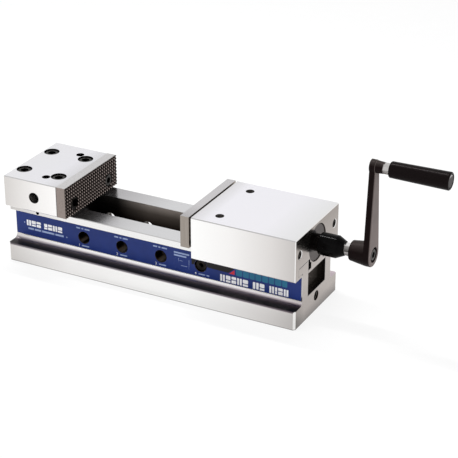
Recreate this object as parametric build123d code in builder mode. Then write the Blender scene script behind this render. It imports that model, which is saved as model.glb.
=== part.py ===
from build123d import *
import math
import os

# Hydraulic machine vise, millimetres. X runs along the bed towards the crank, Y across it, Z up.
# The origin is the middle of the base's ground underside.

# Base casting
base_length = 418.0
flange_inset = 1.0
flange_height = 25.0
flange_chamfer = 0.9
wall_fillet = 6.0
rail_overhang = 11.4
rail_thickness = 10.0
bed_height = 79.0
corner_chamfer = 2.5
edge_chamfer = 0.8
channel_width = 50.0
channel_floor_height = 31.0
channel_fillet = 4.0
solid_head_length = 84.0
end_tap_diameter = 12.0
end_tap_height = 20.0
end_tap_depth = 28.0
end_tap_mouth = 0.6
tap_mouth = 0.4
countersink_angle = 90.0
oil_hole_diameter = 4.5
oil_hole_position = 42.3
oil_hole_drop = 6.5
oil_hole_depth = 7.0
key_slot_width = 16.0
key_slot_length = 40.0
key_slot_depth = 6.0
key_slot_inset = 59.0
key_tap_diameter = 6.8
key_tap_depth = 14.0

# Row of holes for the range pin
pin_hole_count = 4
pin_hole_first_inset = 105.0
pin_hole_last_inset = 140.8
pin_hole_rise = 15.4
pin_hole_mouth = 0.5
pin_diameter = 16.0
pin_running_clearance = 0.05
pin_recess = 1.5
pin_chamfer = 1.2
pin_draw_hole_diameter = 5.0
pin_draw_hole_depth = 14.0

# Both jaws
jaw_width = 125.0
jaw_height = 42.4
jaw_plate_bottom_gap = 0.25
jaw_edge_chamfer = 1.0

# Fixed jaw with its bolts and dowels
fixed_jaw_overhang = 1.0
fixed_jaw_length = 80.6
fixed_bolt_back_inset = 12.6
fixed_bolt_front_inset = 15.0
fixed_bolt_side_inset = 30.2
bolt_shank_diameter = 12.0
bolt_head_diameter = 18.0
bolt_head_height = 12.0
bolt_head_recess = 1.4
bolt_socket_size = 10.0
bolt_socket_depth = 6.0
bolt_grip_in_bed = 22.0
bolt_hole_clearance = 0.75
bolt_head_clearance = 1.2
thread_clearance = 0.1
dowel_diameter = 10.0
dowel_front_inset = 28.6
dowel_side_inset = 21.5
dowel_recess = 6.0
dowel_depth_in_bed = 8.0
dowel_clearance = 0.02
dowel_mouth = 0.3
stop_tap_diameter = 14.0
stop_tap_inset = 45.8
stop_tap_rise = 19.7
stop_tap_depth = 14.0

# Jaw plates and their screws
fixed_plate_thickness = 14.5
movable_plate_thickness = 12.2
serration_pitch = 4.95
serration_depth = 1.5
plate_screw_side_inset = 21.0
plate_screw_rise = 14.0
screw_shank_diameter = 10.0
screw_head_diameter = 16.0
fixed_screw_head_height = 10.0
movable_screw_head_height = 6.5
screw_head_recess = 0.6
screw_socket_size = 8.0
screw_socket_depth = 4.0
fixed_screw_grip = 9.0
movable_screw_grip = 16.0
screw_hole_clearance = 0.5
screw_head_clearance = 0.8
plate_edge_chamfer = 0.4

# Movable jaw
movable_jaw_length = 142.2
pad_height = 3.0
pad_inset_side = 10.0
pad_inset_top = 7.0
pad_inset_bottom = 6.0
slide_clearance = 0.05
guide_clearance = 0.3
skirt_thickness = 9.8
lip_thickness = 3.3
lip_reach_clearance = 1.0
tongue_foot_gap = 2.0
tongue_foot_height = 4.0
tongue_length = 23.0
tongue_neck_width = 34.0
tongue_root_width = 40.6
tongue_root_height = 4.0
front_wall_thickness = 20.0
chamber_clearance = 0.5
top_tap_diameter = 10.2
top_tap_inset = 28.7
top_tap_side_inset = 21.5
top_tap_depth = 20.0
rear_tap_diameter = 10.2
rear_tap_side_inset = 12.5
rear_tap_rise = 19.0
rear_tap_depth = 22.0
rear_tap_mouth = 0.9

# Anchor block that holds the spindle's thread and takes the range pin
spindle_rise = 14.5
spindle_diameter = 36.0
thread_running_clearance = 0.3
nut_wall = 4.5
anchor_post_length = 32.0
anchor_front_gap = 5.7
anchor_foot_height = 29.0
anchor_foot_reach = 15.0
anchor_foot_chamfer = 4.5

# Spindle, which is also the oil cylinder
spindle_front_gap = 7.9
thrust_pad_diameter = 26.0
thrust_pad_thickness = 10.0
thrust_pad_rise = 4.6
piston_nose_gap = 1.3
cylinder_bore = 28.0
gland_diameter = 30.0
gland_length = 6.5
piston_rod_diameter = 20.0
piston_head_length = 10.0
piston_clearance = 0.3
spring_space = 6.8
spring_gland_gap = 1.2
spring_piston_gap = 0.1
disc_spring_count = 2
disc_spring_thickness = 1.4
oil_space_length = 6.0
seal_width = 3.0
seal_depth = 2.0
seal_clearance = 0.1
plunger_diameter = 10.0
plunger_clearance = 0.05
plunger_rest_gap = 8.0
plunger_length = 50.0
plunger_seal_distance = 14.0
plunger_seal_width = 2.0
plunger_seal_depth = 1.2
plunger_contact_gap = 0.1
drive_thread_diameter = 14.0
drive_thread_bore_length = 26.0
drive_thread_start_gap = 8.0
drive_bore_diameter = 16.8
collar_diameter = 43.0
collar_length = 6.5
journal_diameter = 22.0
journal_grip_in_sleeve = 7.0
journal_running_clearance = 0.05
thrust_washer_thickness = 2.4
axial_play = 0.3

# Retaining ring screwed into the jaw's rear bore
retainer_diameter = 45.0
retainer_flange_diameter = 48.0
retainer_flange_thickness = 4.0
retainer_flange_clearance = 0.4
retainer_thickness = 12.6
retainer_recess = 1.2
retainer_chamfer = 0.8

# Drive sleeve with the torque clutch inside
sleeve_diameter = 28.6
sleeve_root_gap = 5.0
sleeve_cylinder_length = 22.0
sleeve_nose_length = 10.0
sleeve_nose_diameter = 18.8
sleeve_edge_chamfer = 0.8
clutch_bore = 24.4
clutch_chamber_length = 16.0
clutch_gap = 0.15
clutch_spring_count = 3
clutch_spring_thickness = 1.2
clutch_plate_thickness = 3.4
clutch_roller_diameter = 3.4
clutch_roller_length = 3.2
clutch_roller_count = 8

# Drive screw with its hexagon
drive_shank_diameter = 16.0
drive_shoulder_gap = 7.5
drive_hex_size = 14.0
drive_hex_start_gap = 7.0

# Crank
hub_gap = 8.5
hub_length = 21.1
hub_front_diameter = 25.2
hub_root_diameter = 31.0
hub_edge_fillet = 1.6
hub_socket_clearance = 0.05
hub_socket_depth = 17.5
arm_thickness = 7.9
arm_root_width = 31.6
arm_tip_width = 12.6
arm_edge_fillet = 1.8
crank_radius = 115.8
handle_boss_length = 8.5
handle_boss_root_diameter = 16.6
handle_boss_end_diameter = 14.2
crank_screw_head_diameter = 15.0
crank_screw_head_height = 4.0
crank_screw_counterbore = 19.4
crank_screw_counterbore_depth = 4.6
crank_screw_shank_diameter = 8.0
crank_screw_shank_clearance = 0.3
crank_screw_shank_length = 18.0
crank_screw_socket_size = 8.0
crank_screw_socket_depth = 3.0

# Grip and the pin that it turns on
grip_length = 74.8
grip_inner_diameter = 20.0
grip_outer_diameter = 22.2
grip_edge_fillet = 1.6
grip_bore_clearance = 0.3
grip_recess_depth = 2.6
grip_recess_diameter = 17.4
grip_pin_diameter = 8.0
grip_rivet_diameter = 7.0
grip_collar_size = 12.0
grip_collar_length = 7.7
grip_axial_play = 0.3
grip_head_diameter = 16.6
grip_head_thickness = 2.0
grip_head_chamfer = 0.6

# Widths and heights that follow from the sizes above
base_width = jaw_width - 2 * flange_inset
skirt_inner = jaw_width / 2 - skirt_thickness
rail_width = 2 * (skirt_inner - guide_clearance)
wall_width = rail_width - 2 * rail_overhang
lip_inner = wall_width / 2 + lip_reach_clearance
jaw_top = bed_height + jaw_height
rail_underside = bed_height - rail_thickness
slide_height = bed_height + slide_clearance
plate_bottom = bed_height + jaw_plate_bottom_gap
lip_top = rail_underside - guide_clearance
skirt_bottom = lip_top - lip_thickness
pin_hole_height = channel_floor_height + pin_hole_rise
foot_top = channel_floor_height + anchor_foot_height
tongue_bottom = foot_top + tongue_foot_gap
tongue_foot_top = tongue_bottom + tongue_foot_height
spindle_height = bed_height + spindle_rise
plate_screw_height = bed_height + plate_screw_rise
stop_tap_height = bed_height + stop_tap_rise
rear_tap_height = bed_height + rear_tap_rise
oil_hole_height = bed_height - oil_hole_drop
fixed_bolt_spacing_x = fixed_jaw_length - fixed_bolt_back_inset - fixed_bolt_front_inset
fixed_bolt_spacing_y = jaw_width - 2 * fixed_bolt_side_inset
dowel_spacing = jaw_width - 2 * dowel_side_inset
plate_screw_spacing = jaw_width - 2 * plate_screw_side_inset
top_tap_spacing = jaw_width - 2 * top_tap_side_inset
rear_tap_spacing = jaw_width - 2 * rear_tap_side_inset
key_slot_spacing = base_length - 2 * key_slot_inset

# Places along the bed that follow from them
left_end = -base_length / 2
right_end = base_length / 2
fixed_jaw_back = left_end - fixed_jaw_overhang
fixed_jaw_front = fixed_jaw_back + fixed_jaw_length
fixed_face = fixed_jaw_front + fixed_plate_thickness
movable_rear = right_end
movable_front = movable_rear - movable_jaw_length
movable_plate_back = movable_front - pad_height
movable_face = movable_plate_back - movable_plate_thickness
chamber_front = movable_front + front_wall_thickness
chamber_rear = movable_rear - tongue_length
fixed_bolt_middle = fixed_jaw_back + fixed_bolt_back_inset + fixed_bolt_spacing_x / 2
dowel_place = fixed_jaw_front - dowel_front_inset
stop_tap_place = fixed_jaw_back + stop_tap_inset
oil_hole_place = left_end + oil_hole_position
pin_hole_pitch = (base_length - pin_hole_first_inset - pin_hole_last_inset) / (pin_hole_count - 1)
pin_hole_places = [left_end + pin_hole_first_inset + index * pin_hole_pitch for index in range(pin_hole_count)]
range_pin_place = pin_hole_places[-1]
pin_hole_radius = pin_diameter / 2 + pin_running_clearance

# Radii round the spindle's axis
nut_bore_radius = spindle_diameter / 2 + thread_running_clearance
post_radius = nut_bore_radius + nut_wall
chamber_radius = post_radius + chamber_clearance
journal_radius = journal_diameter / 2
plunger_bore_radius = plunger_diameter / 2 + plunger_clearance
spindle_axis = Axis((0, 0, spindle_height), (1, 0, 0))
spindle_plane = Plane(origin=(0, 0, spindle_height), x_dir=(1, 0, 0), z_dir=(0, -1, 0))

# Places along the spindle
thrust_pad_face = chamber_front + thrust_pad_rise
thrust_pad_seat = thrust_pad_face - thrust_pad_thickness
piston_nose = thrust_pad_face + piston_nose_gap
spindle_front = chamber_front + spindle_front_gap
gland_back = spindle_front + gland_length
piston_head_front = gland_back + spring_space
piston_head_back = piston_head_front + piston_head_length
plunger_bore_start = piston_head_back + oil_space_length
plunger_front = plunger_bore_start + plunger_rest_gap
plunger_back = plunger_front + plunger_length
drive_thread_start = plunger_back - drive_thread_start_gap
drive_thread_end = drive_thread_start + drive_thread_bore_length
retainer_back = movable_rear - retainer_recess
retainer_front = retainer_back - retainer_thickness
washer_front = retainer_front - thrust_washer_thickness
collar_back = washer_front - axial_play
collar_front = collar_back - collar_length
sleeve_front = movable_rear + sleeve_root_gap
sleeve_cylinder_back = sleeve_front + sleeve_cylinder_length
sleeve_back = sleeve_cylinder_back + sleeve_nose_length
journal_back = sleeve_front + journal_grip_in_sleeve
clutch_chamber_back = journal_back + clutch_chamber_length
drive_shoulder = drive_thread_end + drive_shoulder_gap
drive_hex_start = sleeve_back - drive_hex_start_gap

# Places on the crank
hub_front = sleeve_back + hub_gap
hub_socket_end = hub_front + hub_socket_depth
arm_inner = hub_front + hub_length
arm_outer = arm_inner + arm_thickness
handle_boss_end = arm_outer + handle_boss_length
crank_screw_seat = arm_outer - crank_screw_counterbore_depth
grip_height = spindle_height + crank_radius
grip_axis = Axis((0, 0, grip_height), (1, 0, 0))
grip_plane = Plane(origin=(0, 0, grip_height), x_dir=(1, 0, 0), z_dir=(0, -1, 0))
grip_front = handle_boss_end + grip_collar_length + grip_axial_play
grip_back = grip_front + grip_length
grip_recess_floor = grip_back - grip_recess_depth
grip_head_front = grip_recess_floor + grip_axial_play
tolerance = 0.01
standing = (Align.CENTER, Align.CENTER, Align.MIN)
hanging = (Align.CENTER, Align.CENTER, Align.MAX)


# Edges of a shape whose middle has the given X, distance from the X axis across, or height
def edges_at(shape, x=None, y=None, z=None):
    chosen = shape.edges()
    if x is not None:
        chosen = chosen.filter_by(lambda edge: math.isclose(edge.center().X, x, abs_tol=tolerance))
    if y is not None:
        chosen = chosen.filter_by(lambda edge: math.isclose(abs(edge.center().Y), y, abs_tol=tolerance))
    if z is not None:
        chosen = chosen.filter_by(lambda edge: math.isclose(edge.center().Z, z, abs_tol=tolerance))
    return chosen


# A plane square to X at a place along the bed, with Y across and Z up in it
def across_bed(place):
    return Plane.YZ.offset(place)


# The plane of a mouth whose hole goes in against the given direction
def mouth(x, y, z, outward):
    return Plane(origin=(x, y, z), x_dir=(0, 0, 1) if outward[2] == 0 else (1, 0, 0), z_dir=outward)


# The half section of a cone washer spring, from its inner edge to its outer one
def cone_spring_section(start, height, thickness, inner, outer):
    return [
        (start, inner),
        (start + height, outer),
        (start + height + thickness, outer),
        (start + thickness, inner),
    ]


os.makedirs("parts", exist_ok=True)

# Base: an extruded section with flanges, rails and a channel, then its holes and key slots
with BuildPart() as body:
    with BuildSketch(across_bed(left_end)):
        with BuildLine():
            flank = Polyline(
                (0, 0),
                (base_width / 2, 0),
                (base_width / 2, flange_height),
                (wall_width / 2, flange_height),
                (wall_width / 2, rail_underside),
                (rail_width / 2, rail_underside),
                (rail_width / 2, bed_height),
                (0, bed_height),
            )
            mirror(flank, about=Plane.YZ)
        make_face()
    extrude(amount=base_length)
    fillet(edges_at(body, x=0, y=wall_width / 2, z=flange_height), wall_fillet)
    chamfer(edges_at(body, x=0, y=base_width / 2, z=flange_height), flange_chamfer)
    chamfer(edges_at(body, y=base_width / 2).filter_by(Axis.Z), corner_chamfer)
    chamfer(edges_at(body, x=0, y=rail_width / 2), edge_chamfer)
    with BuildSketch(across_bed(left_end + solid_head_length)):
        with Locations((0, (channel_floor_height + bed_height) / 2)):
            Rectangle(channel_width, bed_height - channel_floor_height)
    extrude(amount=base_length - solid_head_length, mode=Mode.SUBTRACT)
    fillet(edges_at(body, y=channel_width / 2, z=channel_floor_height).filter_by(Axis.X), channel_fillet)
    for place in pin_hole_places:
        for side in (-1, 1):
            with Locations(mouth(place, side * wall_width / 2, pin_hole_height, (0, side, 0))):
                CounterSinkHole(
                    pin_hole_radius, pin_hole_radius + pin_hole_mouth, wall_width / 2, countersink_angle
                )
    with Locations(mouth(right_end, 0, end_tap_height, (1, 0, 0))):
        CounterSinkHole(
            end_tap_diameter / 2, end_tap_diameter / 2 + end_tap_mouth, end_tap_depth, countersink_angle
        )
    for side in (-1, 1):
        with Locations(mouth(oil_hole_place, side * rail_width / 2, oil_hole_height, (0, side, 0))):
            Hole(oil_hole_diameter / 2, oil_hole_depth)
    with Locations(mouth(fixed_bolt_middle, 0, bed_height, (0, 0, 1))):
        with GridLocations(fixed_bolt_spacing_x, fixed_bolt_spacing_y, 2, 2):
            Hole(bolt_shank_diameter / 2 + thread_clearance, bolt_grip_in_bed)
    with Locations(mouth(dowel_place, 0, bed_height, (0, 0, 1))):
        with GridLocations(0, dowel_spacing, 1, 2):
            Hole(dowel_diameter / 2 + dowel_clearance, dowel_depth_in_bed)
    with BuildSketch(Plane.XY):
        with GridLocations(key_slot_spacing, 0, 2, 1):
            Rectangle(key_slot_width, key_slot_length)
    extrude(amount=key_slot_depth, mode=Mode.SUBTRACT)
    with Locations(mouth(0, 0, key_slot_depth, (0, 0, -1))):
        with GridLocations(key_slot_spacing, 0, 2, 1):
            Hole(key_tap_diameter / 2, key_tap_depth)
body.part.label = "body"
export_step(body.part, "parts/body.step")

# Fixed jaw: a ground block, bored for its bolts and dowels and tapped on both sides
with BuildPart() as fixed_jaw:
    with BuildSketch(Plane.XY.offset(bed_height)):
        with Locations(((fixed_jaw_back + fixed_jaw_front) / 2, 0)):
            Rectangle(fixed_jaw_length, jaw_width)
    extrude(amount=jaw_height)
    chamfer(edges_at(fixed_jaw, y=jaw_width / 2) + edges_at(fixed_jaw, x=fixed_jaw_back), jaw_edge_chamfer)
    with Locations(mouth(fixed_bolt_middle, 0, jaw_top, (0, 0, 1))):
        with GridLocations(fixed_bolt_spacing_x, fixed_bolt_spacing_y, 2, 2):
            CounterBoreHole(
                bolt_shank_diameter / 2 + bolt_hole_clearance,
                bolt_head_diameter / 2 + bolt_head_clearance,
                bolt_head_height + bolt_head_recess,
                jaw_height,
            )
    with Locations(mouth(dowel_place, 0, jaw_top, (0, 0, 1))):
        with GridLocations(0, dowel_spacing, 1, 2):
            CounterSinkHole(
                dowel_diameter / 2 + dowel_clearance,
                dowel_diameter / 2 + dowel_mouth,
                jaw_height,
                countersink_angle,
            )
    for side in (-1, 1):
        with Locations(mouth(stop_tap_place, side * jaw_width / 2, stop_tap_height, (0, side, 0))):
            CounterSinkHole(
                stop_tap_diameter / 2, stop_tap_diameter / 2 + tap_mouth, stop_tap_depth, countersink_angle
            )
    with Locations(mouth(fixed_jaw_front, 0, plate_screw_height, (1, 0, 0))):
        with GridLocations(0, plate_screw_spacing, 1, 2):
            Hole(screw_shank_diameter / 2 + thread_clearance, fixed_screw_grip)
fixed_jaw.part.label = "fixed_jaw"
export_step(fixed_jaw.part, "parts/fixed_jaw.step")

# Serrated jaw plate: two crossing rows of V grooves leave a field of small pyramids
groove_columns = round(jaw_width / serration_pitch)
groove_rows = round((jaw_top - plate_bottom) / serration_pitch)
column_pitch = jaw_width / groove_columns
row_pitch = (jaw_top - plate_bottom) / groove_rows
clear_of_face = fixed_face + serration_depth
column_points = []
for index in range(groove_columns):
    column_points.append((fixed_face, -jaw_width / 2 + index * column_pitch))
    column_points.append((fixed_face - serration_depth, -jaw_width / 2 + (index + 0.5) * column_pitch))
column_points.append((fixed_face, jaw_width / 2))
column_points.append((clear_of_face, jaw_width / 2))
column_points.append((clear_of_face, -jaw_width / 2))
row_points = []
for index in range(groove_rows):
    row_points.append((fixed_face, plate_bottom + index * row_pitch))
    row_points.append((fixed_face - serration_depth, plate_bottom + (index + 0.5) * row_pitch))
row_points.append((fixed_face, jaw_top))
row_points.append((clear_of_face, jaw_top))
row_points.append((clear_of_face, plate_bottom))
with BuildPart() as fixed_jaw_plate:
    with BuildSketch(Plane.XY.offset(plate_bottom)):
        with Locations(((fixed_jaw_front + fixed_face) / 2, 0)):
            Rectangle(fixed_plate_thickness, jaw_width)
    extrude(amount=jaw_top - plate_bottom)
    with BuildSketch(Plane.XY.offset(plate_bottom)):
        with BuildLine():
            Polyline(*column_points, close=True)
        make_face()
    extrude(amount=jaw_top - plate_bottom, mode=Mode.SUBTRACT)
    with BuildSketch(Plane(origin=(0, jaw_width / 2, 0), x_dir=(1, 0, 0), z_dir=(0, -1, 0))):
        with BuildLine():
            Polyline(*row_points, close=True)
        make_face()
    extrude(amount=jaw_width, mode=Mode.SUBTRACT)
    with Locations(mouth(fixed_face, 0, plate_screw_height, (1, 0, 0))):
        with GridLocations(0, plate_screw_spacing, 1, 2):
            CounterBoreHole(
                screw_shank_diameter / 2 + screw_hole_clearance,
                screw_head_diameter / 2 + screw_head_clearance,
                fixed_screw_head_height + screw_head_recess,
                fixed_plate_thickness,
            )
fixed_jaw_plate.part.label = "fixed_jaw_plate"
export_step(fixed_jaw_plate.part, "parts/fixed_jaw_plate.step")

# Four bolts of the fixed jaw
bolt_seat = jaw_top - bolt_head_recess - bolt_head_height
bolt_length = bolt_seat - bed_height + bolt_grip_in_bed - edge_chamfer
with BuildPart() as fixed_jaw_bolts:
    with Locations((fixed_bolt_middle, 0, bolt_seat)):
        with GridLocations(fixed_bolt_spacing_x, fixed_bolt_spacing_y, 2, 2):
            Cylinder(bolt_head_diameter / 2, bolt_head_height, align=standing)
            Cylinder(bolt_shank_diameter / 2, bolt_length, align=hanging)
    chamfer(edges_at(fixed_jaw_bolts, z=bolt_seat + bolt_head_height), edge_chamfer)
    with BuildSketch(Plane.XY.offset(bolt_seat + bolt_head_height)):
        with Locations((fixed_bolt_middle, 0)):
            with GridLocations(fixed_bolt_spacing_x, fixed_bolt_spacing_y, 2, 2):
                RegularPolygon(bolt_socket_size / 2, 6, major_radius=False)
    extrude(amount=-bolt_socket_depth, mode=Mode.SUBTRACT)
fixed_jaw_bolts.part.label = "fixed_jaw_bolts"
export_step(fixed_jaw_bolts.part, "parts/fixed_jaw_bolts.step")

# Two dowels of the fixed jaw
dowel_length = jaw_height - dowel_recess + dowel_depth_in_bed - edge_chamfer
with BuildPart() as fixed_jaw_dowels:
    with Locations((dowel_place, 0, jaw_top - dowel_recess)):
        with GridLocations(0, dowel_spacing, 1, 2):
            Cylinder(dowel_diameter / 2, dowel_length, align=hanging)
    chamfer(fixed_jaw_dowels.edges().filter_by(GeomType.CIRCLE), edge_chamfer)
fixed_jaw_dowels.part.label = "fixed_jaw_dowels"
export_step(fixed_jaw_dowels.part, "parts/fixed_jaw_dowels.step")

# Two screws of the serrated plate, put in from the jaw opening
fixed_screw_seat = fixed_face - screw_head_recess - fixed_screw_head_height
fixed_screw_length = fixed_screw_seat - fixed_jaw_front + fixed_screw_grip - edge_chamfer
with BuildPart() as fixed_plate_screws:
    with BuildSketch(across_bed(fixed_screw_seat)):
        with Locations((0, plate_screw_height)):
            with GridLocations(plate_screw_spacing, 0, 2, 1):
                Circle(screw_head_diameter / 2)
    extrude(amount=fixed_screw_head_height)
    chamfer(edges_at(fixed_plate_screws, x=fixed_screw_seat + fixed_screw_head_height), edge_chamfer)
    with BuildSketch(across_bed(fixed_screw_seat)):
        with Locations((0, plate_screw_height)):
            with GridLocations(plate_screw_spacing, 0, 2, 1):
                Circle(screw_shank_diameter / 2)
    extrude(amount=-fixed_screw_length)
    with BuildSketch(across_bed(fixed_screw_seat + fixed_screw_head_height)):
        with Locations((0, plate_screw_height)):
            with GridLocations(plate_screw_spacing, 0, 2, 1):
                RegularPolygon(screw_socket_size / 2, 6, major_radius=False)
    extrude(amount=-screw_socket_depth, mode=Mode.SUBTRACT)
fixed_plate_screws.part.label = "fixed_plate_screws"
export_step(fixed_plate_screws.part, "parts/fixed_plate_screws.step")

# Anchor nut: a foot in the channel, held by the range pin, and a round-topped post with the thread
anchor_front = range_pin_place - anchor_foot_reach
post_front = chamber_front + anchor_front_gap
post_back = post_front + anchor_post_length
foot_side = channel_width / 2 - guide_clearance
with BuildPart() as anchor_nut:
    with BuildSketch(across_bed(anchor_front)):
        with Locations((0, channel_floor_height + anchor_foot_height / 2)):
            Rectangle(2 * foot_side, anchor_foot_height)
    extrude(amount=post_back - anchor_front)
    chamfer(edges_at(anchor_nut, z=channel_floor_height).filter_by(Axis.X), anchor_foot_chamfer)
    with BuildSketch(across_bed(post_front)):
        with Locations((0, (foot_top + spindle_height) / 2)):
            Rectangle(2 * post_radius, spindle_height - foot_top)
        with Locations((0, spindle_height)):
            Circle(post_radius)
    extrude(amount=anchor_post_length)
    with Locations(mouth(post_back, 0, spindle_height, (1, 0, 0))):
        Hole(nut_bore_radius, anchor_post_length)
    with Locations(mouth(range_pin_place, -foot_side, pin_hole_height, (0, -1, 0))):
        Hole(pin_hole_radius, channel_width)
anchor_nut.part.label = "anchor_nut"
export_step(anchor_nut.part, "parts/anchor_nut.step")

# Range pin: a ground pin with a tapped hole to draw it out by
range_pin_length = wall_width - 2 * pin_recess
with BuildPart() as range_pin:
    with BuildSketch(mouth(range_pin_place, -range_pin_length / 2, pin_hole_height, (0, -1, 0))):
        Circle(pin_diameter / 2)
    extrude(amount=-range_pin_length)
    chamfer(range_pin.edges().filter_by(GeomType.CIRCLE), pin_chamfer)
    with Locations(mouth(range_pin_place, -range_pin_length / 2, pin_hole_height, (0, -1, 0))):
        CounterSinkHole(
            pin_draw_hole_diameter / 2,
            pin_draw_hole_diameter / 2 + edge_chamfer,
            pin_draw_hole_depth,
            countersink_angle,
        )
range_pin.part.label = "range_pin"
export_step(range_pin.part, "parts/range_pin.step")

# Movable jaw: saddle section over the rails, tongues in the channel, a chamber round the anchor's post
pad_bottom = slide_height + pad_inset_bottom
pad_top = jaw_top - pad_inset_top
with BuildPart() as movable_jaw:
    with BuildSketch(across_bed(movable_front)):
        with BuildLine():
            saddle = Polyline(
                (0, slide_height),
                (skirt_inner, slide_height),
                (skirt_inner, lip_top),
                (lip_inner, lip_top),
                (lip_inner, skirt_bottom),
                (jaw_width / 2, skirt_bottom),
                (jaw_width / 2, jaw_top),
                (0, jaw_top),
            )
            mirror(saddle, about=Plane.YZ)
        make_face()
    extrude(amount=movable_jaw_length)
    chamfer(
        edges_at(movable_jaw, x=movable_rear).filter_by(lambda edge: edge.length > jaw_height)
        + edges_at(movable_jaw, y=jaw_width / 2, z=jaw_top)
        + edges_at(movable_jaw, y=jaw_width / 2, z=skirt_bottom),
        jaw_edge_chamfer,
    )
    with BuildSketch(across_bed(movable_plate_back)):
        with Locations((0, (pad_bottom + pad_top) / 2)):
            Rectangle(jaw_width - 2 * pad_inset_side, pad_top - pad_bottom)
    extrude(amount=pad_height)
    for tongue_start in (movable_front, chamber_rear):
        with BuildSketch(across_bed(tongue_start)):
            with Locations((0, tongue_bottom + tongue_foot_height / 2)):
                Rectangle(2 * foot_side, tongue_foot_height)
            with Locations((0, (tongue_foot_top + slide_height) / 2)):
                Rectangle(tongue_neck_width, slide_height - tongue_foot_top)
            with Locations((0, slide_height - tongue_root_height / 2)):
                Rectangle(tongue_root_width, tongue_root_height)
        extrude(amount=tongue_length)
    with BuildSketch(across_bed(chamber_front)):
        with Locations((0, (tongue_bottom + spindle_height) / 2)):
            Rectangle(2 * chamber_radius, spindle_height - tongue_bottom)
        with Locations((0, spindle_height)):
            Circle(chamber_radius)
    extrude(amount=chamber_rear - chamber_front, mode=Mode.SUBTRACT)
    with Locations(mouth(movable_rear, 0, spindle_height, (1, 0, 0))):
        CounterBoreHole(
            retainer_diameter / 2,
            retainer_flange_diameter / 2 + retainer_flange_clearance,
            retainer_recess + retainer_flange_thickness,
            tongue_length,
        )
    with Locations(mouth(chamber_front, 0, spindle_height, (1, 0, 0))):
        Hole(thrust_pad_diameter / 2 + thread_clearance, chamber_front - thrust_pad_seat)
    with Locations(mouth(movable_front + top_tap_inset, 0, jaw_top, (0, 0, 1))):
        with GridLocations(0, top_tap_spacing, 1, 2):
            CounterSinkHole(
                top_tap_diameter / 2, top_tap_diameter / 2 + tap_mouth, top_tap_depth, countersink_angle
            )
    with Locations(mouth(movable_rear, 0, rear_tap_height, (1, 0, 0))):
        with GridLocations(0, rear_tap_spacing, 1, 2):
            CounterSinkHole(
                rear_tap_diameter / 2, rear_tap_diameter / 2 + rear_tap_mouth, rear_tap_depth, countersink_angle
            )
    with Locations(mouth(movable_plate_back, 0, plate_screw_height, (1, 0, 0))):
        with GridLocations(0, plate_screw_spacing, 1, 2):
            Cylinder(
                screw_shank_diameter / 2 + thread_clearance,
                movable_screw_grip,
                align=standing,
                mode=Mode.SUBTRACT,
            )
movable_jaw.part.label = "movable_jaw"
export_step(movable_jaw.part, "parts/movable_jaw.step")

# Smooth plate of the movable jaw
with BuildPart() as movable_jaw_plate:
    with BuildSketch(Plane.XY.offset(plate_bottom)):
        with Locations(((movable_face + movable_plate_back) / 2, 0)):
            Rectangle(movable_plate_thickness, jaw_width)
    extrude(amount=jaw_top - plate_bottom)
    chamfer(edges_at(movable_jaw_plate, x=movable_face), plate_edge_chamfer)
    with Locations(mouth(movable_face, 0, plate_screw_height, (-1, 0, 0))):
        with GridLocations(0, plate_screw_spacing, 1, 2):
            CounterBoreHole(
                screw_shank_diameter / 2 + screw_hole_clearance,
                screw_head_diameter / 2 + screw_head_clearance,
                movable_screw_head_height + screw_head_recess,
                movable_plate_thickness,
            )
movable_jaw_plate.part.label = "movable_jaw_plate"
export_step(movable_jaw_plate.part, "parts/movable_jaw_plate.step")

# Two low-head screws of the smooth plate
movable_screw_seat = movable_face + screw_head_recess + movable_screw_head_height
movable_screw_length = movable_plate_back - movable_screw_seat + movable_screw_grip - edge_chamfer
with BuildPart() as movable_plate_screws:
    with BuildSketch(across_bed(movable_screw_seat)):
        with Locations((0, plate_screw_height)):
            with GridLocations(plate_screw_spacing, 0, 2, 1):
                Circle(screw_head_diameter / 2)
    extrude(amount=-movable_screw_head_height)
    chamfer(edges_at(movable_plate_screws, x=movable_screw_seat - movable_screw_head_height), edge_chamfer)
    with BuildSketch(across_bed(movable_screw_seat)):
        with Locations((0, plate_screw_height)):
            with GridLocations(plate_screw_spacing, 0, 2, 1):
                Circle(screw_shank_diameter / 2)
    extrude(amount=movable_screw_length)
    with BuildSketch(across_bed(movable_screw_seat - movable_screw_head_height)):
        with Locations((0, plate_screw_height)):
            with GridLocations(plate_screw_spacing, 0, 2, 1):
                RegularPolygon(screw_socket_size / 2, 6, major_radius=False)
    extrude(amount=screw_socket_depth, mode=Mode.SUBTRACT)
movable_plate_screws.part.label = "movable_plate_screws"
export_step(movable_plate_screws.part, "parts/movable_plate_screws.step")

# Hardened pad that the booster piston pushes the jaw with
with BuildPart() as thrust_pad:
    with BuildSketch(across_bed(thrust_pad_seat)):
        with Locations((0, spindle_height)):
            Circle(thrust_pad_diameter / 2)
    extrude(amount=thrust_pad_thickness)
    chamfer(edges_at(thrust_pad, x=thrust_pad_face), edge_chamfer)
thrust_pad.part.label = "thrust_pad"
export_step(thrust_pad.part, "parts/thrust_pad.step")

# Retaining ring: a flanged, threaded ring that keeps the spindle's collar in the jaw
retainer_flange_front = retainer_back - retainer_flange_thickness
with BuildPart() as retaining_ring:
    with BuildSketch(spindle_plane):
        with BuildLine():
            Polyline(
                (retainer_front, journal_radius + journal_running_clearance),
                (retainer_front, retainer_diameter / 2 - thread_clearance),
                (retainer_flange_front, retainer_diameter / 2 - thread_clearance),
                (retainer_flange_front, retainer_flange_diameter / 2),
                (retainer_back - retainer_chamfer, retainer_flange_diameter / 2),
                (retainer_back, retainer_flange_diameter / 2 - retainer_chamfer),
                (retainer_back, journal_radius + journal_running_clearance),
                close=True,
            )
        make_face()
    revolve(axis=spindle_axis)
retaining_ring.part.label = "retaining_ring"
export_step(retaining_ring.part, "parts/retaining_ring.step")

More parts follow.
